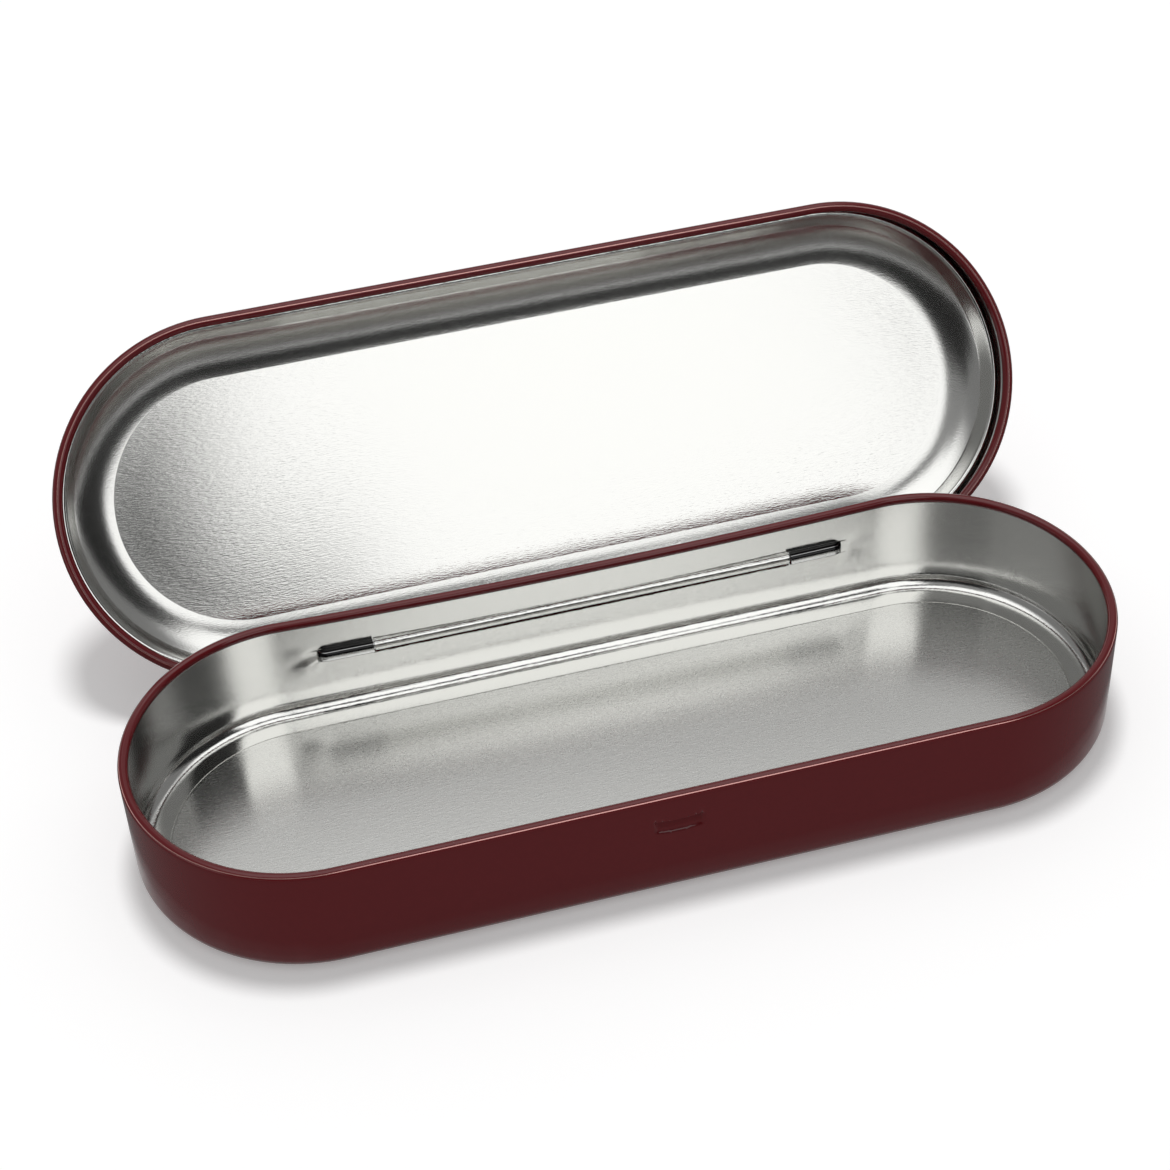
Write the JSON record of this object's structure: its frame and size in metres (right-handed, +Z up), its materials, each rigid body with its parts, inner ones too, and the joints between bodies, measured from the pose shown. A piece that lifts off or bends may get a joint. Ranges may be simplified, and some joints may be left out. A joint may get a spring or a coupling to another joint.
{
  "type": "pencil tin",
  "caption": "Long flat tin with rounded ends for colored pencils; its domed lid turns on a wire pin inside the back wall and stays open past upright.",
  "frame": {"origin": "centre of the tray, on the table that its foot ring stands on; the raised floor's underside is 0.22 mm above it", "axes": "+X along the length, +Y to the hinge side, +Z up"},
  "size_m": [0.1994, 0.1185, 0.067],
  "materials": {
    "red_lacquer": "gloss",
    "bare_tinplate": "satin",
    "steel_wire": "satin"
  },
  "bodies": {
    "tray": {"base_tray": "red_lacquer", "hinge_pin": "steel_wire"},
    "lid": {"lid": "red_lacquer"}
  },
  "joints": [
    {"name": "lid_hinge", "type": "hinge", "parent": "tray", "child": "lid", "pos_m": [0, 0.0332, 0.0145], "axis": [-1, 0, 0], "range_deg": [-127.6, 0]}
  ]
}
